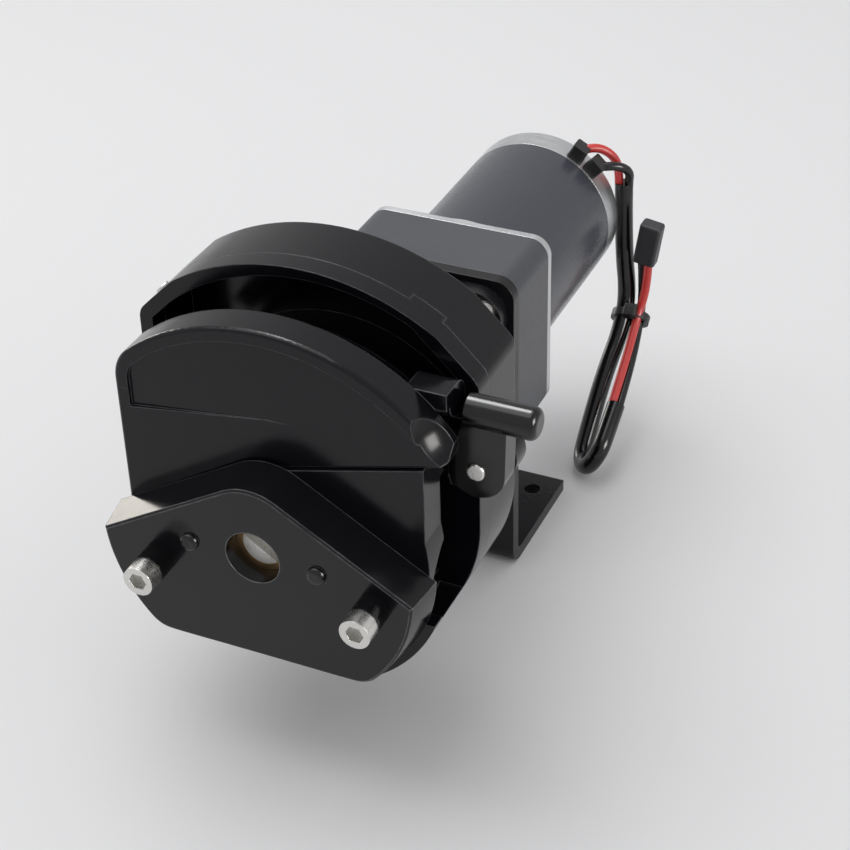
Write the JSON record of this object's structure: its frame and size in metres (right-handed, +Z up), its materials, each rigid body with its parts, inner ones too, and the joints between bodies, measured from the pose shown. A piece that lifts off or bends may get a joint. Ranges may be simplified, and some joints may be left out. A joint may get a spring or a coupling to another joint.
{
  "type": "peristaltic pump head",
  "caption": "Flip-top peristaltic pump head on a geared DC motor with an L bracket, its roller rotor, sprung track, latch lever and tied motor leads.",
  "frame": {"origin": "centre of the bracket foot's four holes, on its underside", "axes": "+X to the pump's right seen from the front, +Y to the rear along the pump axis, +Z up"},
  "size_m": [0.1198, 0.2297, 0.144],
  "materials": {
    "black_plate": "satin black",
    "black_housing": "glossy black",
    "bearing_bronze": "satin",
    "steel_fasteners": "machined",
    "black_fittings": "satin",
    "track_plastic": "matte",
    "spring_steel": "polished",
    "shaft_steel": "ground",
    "bearing_steel": "ground",
    "rotor_aluminium": "satin",
    "roller_plastic": "smooth",
    "adapter_black": "satin",
    "bracket_black": "satin",
    "gearbox_grey": "satin",
    "plated_steel": "plated",
    "motor_can_grey": "satin",
    "magnet_ferrite": "ground",
    "core_steel": "stamped",
    "copper": "bright",
    "brush_carbon": "matte",
    "red_insulation": "smooth",
    "black_insulation": "smooth",
    "connector_plastic": "matte",
    "lead_bundle": "smooth",
    "tie_nylon": "smooth"
  },
  "bodies": {
    "frame": {"front_bearing_plate": "black_plate", "front_casing": "black_housing", "front_ring": "black_housing", "rear_housing": "black_housing", "front_shaft_bush": "bearing_bronze", "output_bearing": "bearing_bronze", "extension_screws": "steel_fasteners", "housing_screws": "steel_fasteners", "bracket_screws": "steel_fasteners", "hood_hinge_pin": "steel_fasteners", "latch_pin": "steel_fasteners", "extension_sleeves": "black_fittings", "extension_dowels": "black_fittings", "terminal_boots": "black_fittings", "rear_bearing_outer": "bearing_steel", "motor_bearings": "bearing_steel", "adapter": "adapter_black", "mounting_bracket": "bracket_black", "gearbox_housing": "gearbox_grey", "gearbox_rear_plate": "plated_steel", "motor_front_ring": "plated_steel", "motor_end_bell": "plated_steel", "motor_can": "motor_can_grey", "motor_magnets": "magnet_ferrite", "motor_brushes": "brush_carbon", "red_lead": "red_insulation", "red_tail": "red_insulation", "black_lead": "black_insulation", "black_tail": "black_insulation", "lead_sleeve": "black_insulation", "lead_connector": "connector_plastic", "lead_hank": "lead_bundle", "cable_tie": "tie_nylon"},
    "hood": {"flip_top_hood": "black_housing", "track_carrier": "black_housing", "carrier_pins": "steel_fasteners", "track_springs": "spring_steel"},
    "track": {"occlusion_track": "track_plastic", "track_guide_pins": "steel_fasteners"},
    "lever": {"latch_lever": "black_fittings"},
    "rotor": {"drive_shaft": "shaft_steel", "rotor_key": "steel_fasteners", "rotor_hub": "rotor_aluminium", "rotor_front_disc": "rotor_aluminium", "roller_axles": "steel_fasteners", "shaft_coupling": "shaft_steel", "gearbox_output_shaft": "shaft_steel", "rear_bearing_inner": "bearing_steel"},
    "roller_one": {"roller_1": "roller_plastic"},
    "roller_two": {"roller_2": "roller_plastic"},
    "roller_three": {"roller_3": "roller_plastic"},
    "armature": {"motor_shaft": "shaft_steel", "armature_core": "core_steel", "armature_windings": "copper", "commutator": "copper"}
  },
  "joints": [
    {"name": "hood_flip", "type": "hinge", "parent": "frame", "child": "hood", "pos_m": [-0.0385, -0.1175, 0.071], "axis": [0, -1, 0], "range_deg": [0, 95]},
    {"name": "track_lift", "type": "slide", "parent": "hood", "child": "track", "axis": [0, 0, 1], "range_m": [0, 0.0025], "stiffness_N_per_m": 4000, "deforming": ["track_springs"]},
    {"name": "latch_turn", "type": "hinge", "parent": "frame", "child": "lever", "pos_m": [0.053, -0.1035, 0.0995], "axis": [0, 1, 0], "range_deg": [0, 70]},
    {"name": "rotor_spin", "type": "hinge", "parent": "frame", "child": "rotor", "pos_m": [0, -0.10575, 0.075], "axis": [0, -1, 0], "continuous": true},
    {"name": "armature_spin", "type": "hinge", "parent": "frame", "child": "armature", "pos_m": [0, 0.0355, 0.075], "axis": [0, -1, 0], "continuous": true},
    {"name": "roller_one_spin", "type": "hinge", "parent": "rotor", "child": "roller_one", "pos_m": [0, -0.10575, 0.0985], "axis": [0, -1, 0], "continuous": true},
    {"name": "roller_two_spin", "type": "hinge", "parent": "rotor", "child": "roller_two", "pos_m": [-0.02035, -0.10575, 0.06325], "axis": [0, -1, 0], "continuous": true},
    {"name": "roller_three_spin", "type": "hinge", "parent": "rotor", "child": "roller_three", "pos_m": [0.02035, -0.10575, 0.06325], "axis": [0, -1, 0], "continuous": true}
  ],
  "couplings": [
    {"joint": "armature_spin", "follows": "rotor_spin", "ratio": 5}
  ]
}
